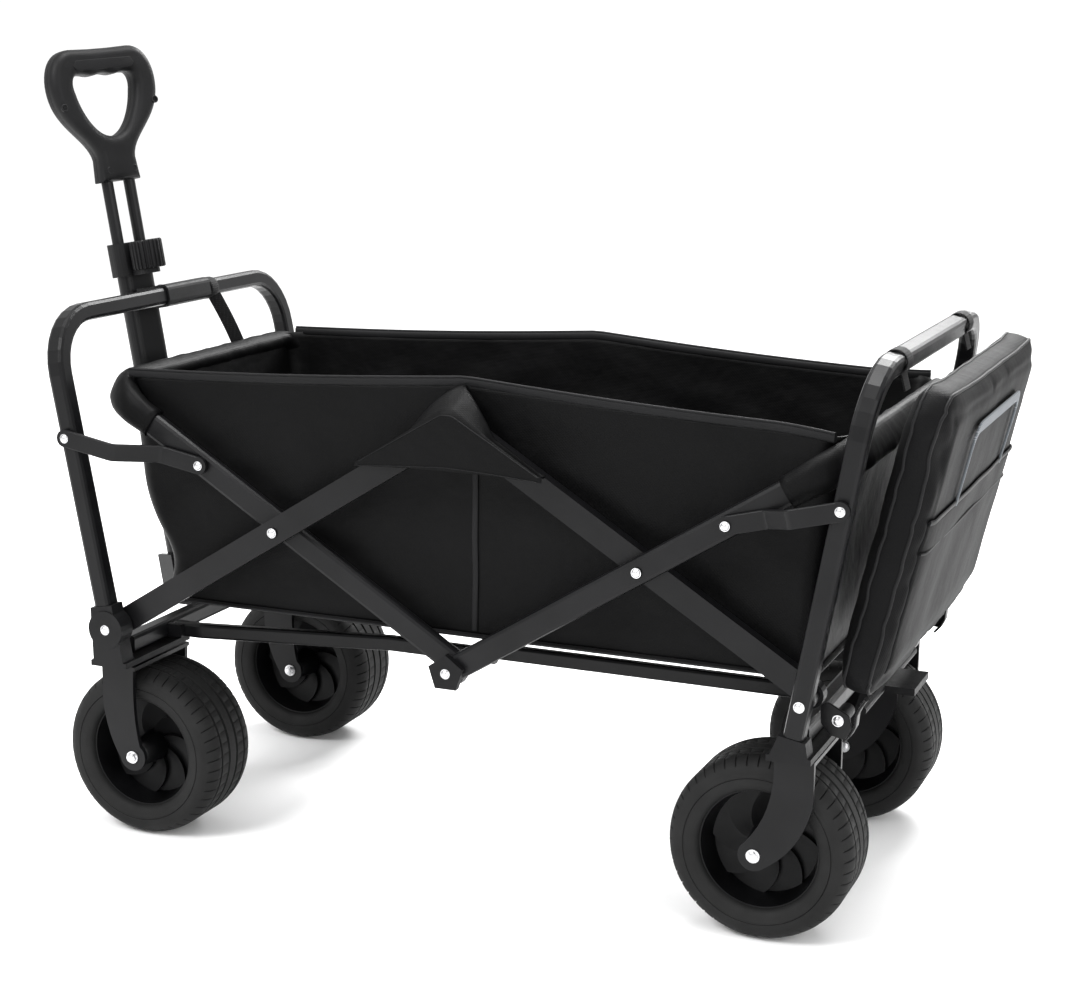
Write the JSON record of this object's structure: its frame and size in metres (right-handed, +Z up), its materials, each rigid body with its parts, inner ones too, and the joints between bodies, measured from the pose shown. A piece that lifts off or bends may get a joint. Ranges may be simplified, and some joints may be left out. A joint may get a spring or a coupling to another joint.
{
  "type": "wagon with pull handle",
  "caption": "Folding fabric wagon on a scissor-linked steel frame with wide wheels, front casters, a telescoping pull handle and a padded cover stowed on its rear hoop.",
  "frame": {"origin": "middle of the bounding box at the ground", "axes": "+X to the padded cover end, -X to the handle end, +Z up, -Y is the left side"},
  "size_m": [1.0482, 0.487, 0.8188],
  "materials": {
    "frame_steel": "satin powder coat",
    "moulded_plastic": "fine grained",
    "tyre_rubber": "matte",
    "hub_plastic": "satin",
    "bright_steel": "zinc plated",
    "bag_fabric": "tight woven polyester",
    "grey_webbing": "woven webbing"
  },
  "bodies": {
    "front_frame": {"front_hoop": "frame_steel", "front_foot_left": "moulded_plastic", "front_foot_right": "moulded_plastic", "front_crossbar": "frame_steel", "handle_clip": "moulded_plastic"},
    "rising_arms": {"front_rising_arm_left": "frame_steel", "front_rising_arm_right": "frame_steel"},
    "front_u": {"front_u_arm": "frame_steel", "front_rim_sleeve": "bag_fabric"},
    "falling_arms": {"rear_falling_arm_left": "frame_steel", "rear_falling_arm_right": "frame_steel"},
    "rear_u": {"rear_u_arm": "frame_steel", "rear_rim_sleeve": "bag_fabric", "lower_joint_cap_left": "moulded_plastic", "lower_joint_cap_right": "moulded_plastic"},
    "rear_frame": {"rear_hoop": "frame_steel", "rear_foot_left": "moulded_plastic", "rear_foot_right": "moulded_plastic", "rear_crossbar": "frame_steel", "rear_fork_left": "frame_steel", "rear_fork_right": "frame_steel", "rear_axle_left": "bright_steel", "rear_axle_right": "bright_steel", "cover_pad": "bag_fabric", "cover_strap": "grey_webbing"},
    "front_links": {"front_link_left": "frame_steel", "front_link_right": "frame_steel"},
    "rear_links": {"rear_link_left": "frame_steel", "rear_link_right": "frame_steel"},
    "front_floor_bars": {"front_floor_bar_left": "frame_steel", "front_floor_bar_right": "frame_steel"},
    "rear_floor_bars": {"rear_floor_bar_left": "frame_steel", "rear_floor_bar_right": "frame_steel", "floor_hub_tube": "moulded_plastic"},
    "bag": {"bag_side_left": "bag_fabric", "bag_side_right": "bag_fabric", "bag_front_wall": "bag_fabric", "bag_rear_wall": "bag_fabric", "bag_floor": "bag_fabric"},
    "caster_left": {"front_fork_left": "frame_steel", "front_axle_left": "bright_steel"},
    "caster_right": {"front_fork_right": "frame_steel", "front_axle_right": "bright_steel"},
    "front_wheel_left": {"front_tyre_left": "tyre_rubber", "front_hub_left": "hub_plastic"},
    "front_wheel_right": {"front_tyre_right": "tyre_rubber", "front_hub_right": "hub_plastic"},
    "rear_wheel_left": {"rear_tyre_left": "tyre_rubber", "rear_hub_left": "hub_plastic"},
    "rear_wheel_right": {"rear_tyre_right": "tyre_rubber", "rear_hub_right": "hub_plastic"},
    "brake": {"brake_pedal": "moulded_plastic"},
    "handle_swivel": {"handle_yoke": "frame_steel"},
    "handle_stem": {"handle_tube": "frame_steel", "lock_collar": "moulded_plastic"},
    "handle_rods": {"handle_rod_left": "frame_steel", "handle_rod_right": "frame_steel", "grip_front_shell": "moulded_plastic", "grip_rear_shell": "moulded_plastic"},
    "knob": {"lock_knob": "moulded_plastic"}
  },
  "joints": [
    {"name": "fold", "type": "hinge", "parent": "front_frame", "child": "rising_arms", "pos_m": [-0.33861, 0, 0.23081], "axis": [0, -1, 0], "range_deg": [0, 40], "deforming": ["bag_side_left", "bag_side_right", "bag_front_wall", "bag_rear_wall", "bag_floor"]},
    {"name": "front_u_turn", "type": "hinge", "parent": "rising_arms", "child": "front_u", "pos_m": [-0.15264, 0, 0.34703], "axis": [0, 1, 0], "range_deg": [0, 81]},
    {"name": "top_turn", "type": "hinge", "parent": "rising_arms", "child": "falling_arms", "pos_m": [0.03936, 0, 0.467], "axis": [0, 1, 0], "range_deg": [0, 81]},
    {"name": "rear_u_turn", "type": "hinge", "parent": "falling_arms", "child": "rear_u", "pos_m": [0.23136, 0, 0.34703], "axis": [0, -1, 0], "range_deg": [0, 81]},
    {"name": "rear_frame_turn", "type": "hinge", "parent": "falling_arms", "child": "rear_frame", "pos_m": [0.39537, 0, 0.24454], "axis": [0, -1, 0], "range_deg": [0, 41]},
    {"name": "front_link_turn", "type": "hinge", "parent": "front_frame", "child": "front_links", "pos_m": [-0.37624, 0, 0.42882], "axis": [0, -1, 0], "range_deg": [0, 70]},
    {"name": "rear_link_turn", "type": "hinge", "parent": "rear_frame", "child": "rear_links", "pos_m": [0.42739, 0, 0.42854], "axis": [0, 1, 0], "range_deg": [0, 73]},
    {"name": "front_floor_turn", "type": "hinge", "parent": "front_frame", "child": "front_floor_bars", "pos_m": [-0.31714, 0, 0.2068], "axis": [0, -1, 0], "range_deg": [0, 73]},
    {"name": "rear_floor_turn", "type": "hinge", "parent": "rear_frame", "child": "rear_floor_bars", "pos_m": [0.36786, 0, 0.2068], "axis": [0, 1, 0], "range_deg": [0, 73]},
    {"name": "bag_lift", "type": "slide", "parent": "front_frame", "child": "bag", "axis": [0, 0, 1], "range_m": [0, 0.2]},
    {"name": "caster_turn_left", "type": "hinge", "parent": "front_frame", "child": "caster_left", "pos_m": [-0.33664, -0.168, 0.19], "axis": [0, 0, 1], "continuous": true},
    {"name": "front_wheel_spin_left", "type": "hinge", "parent": "caster_left", "child": "front_wheel_left", "pos_m": [-0.32264, -0.168, 0.09], "axis": [0, 1, 0], "continuous": true},
    {"name": "rear_wheel_spin_left", "type": "hinge", "parent": "rear_frame", "child": "rear_wheel_left", "pos_m": [0.35236, -0.168, 0.09], "axis": [0, 1, 0], "continuous": true},
    {"name": "caster_turn_right", "type": "hinge", "parent": "front_frame", "child": "caster_right", "pos_m": [-0.33664, 0.168, 0.19], "axis": [0, 0, 1], "continuous": true},
    {"name": "front_wheel_spin_right", "type": "hinge", "parent": "caster_right", "child": "front_wheel_right", "pos_m": [-0.32264, 0.168, 0.09], "axis": [0, 1, 0], "continuous": true},
    {"name": "rear_wheel_spin_right", "type": "hinge", "parent": "rear_frame", "child": "rear_wheel_right", "pos_m": [0.35236, 0.168, 0.09], "axis": [0, 1, 0], "continuous": true},
    {"name": "brake_press", "type": "hinge", "parent": "rear_frame", "child": "brake", "pos_m": [0.42536, 0, 0.2068], "axis": [0, 1, 0], "range_deg": [0, 18]},
    {"name": "handle_swing", "type": "hinge", "parent": "front_frame", "child": "handle_swivel", "pos_m": [-0.38564, 0, 0.222], "axis": [-0.1724, 0, 0.985], "range_deg": [-35, 85]},
    {"name": "handle_tilt", "type": "hinge", "parent": "handle_swivel", "child": "handle_stem", "pos_m": [-0.38978, 0, 0.24564], "axis": [-0.4163, -0.9063, -0.0729], "range_deg": [0, 80]},
    {"name": "handle_extend", "type": "slide", "parent": "handle_stem", "child": "handle_rods", "axis": [-0.1724, 0, 0.985], "range_m": [-0.06, 0.2]},
    {"name": "knob_turn", "type": "hinge", "parent": "handle_stem", "child": "knob", "pos_m": [-0.41954, -0.01407, 0.59068], "axis": [-0.1724, 0, 0.985], "range_deg": [0, 90]}
  ],
  "couplings": [
    {"joint": "front_u_turn", "follows": "fold", "ratio": 2},
    {"joint": "top_turn", "follows": "fold", "ratio": 2},
    {"joint": "rear_u_turn", "follows": "fold", "ratio": 2},
    {"joint": "rear_frame_turn", "follows": "fold", "ratio": 1},
    {"joint": "front_link_turn", "follows": "fold", "ratio": 1.7035},
    {"joint": "rear_link_turn", "follows": "fold", "ratio": 1.7988},
    {"joint": "front_floor_turn", "follows": "fold", "ratio": 1.785},
    {"joint": "rear_floor_turn", "follows": "fold", "ratio": 1.785},
    {"joint": "bag_lift", "follows": "fold", "m_per_rad": 0.27645}
  ]
}
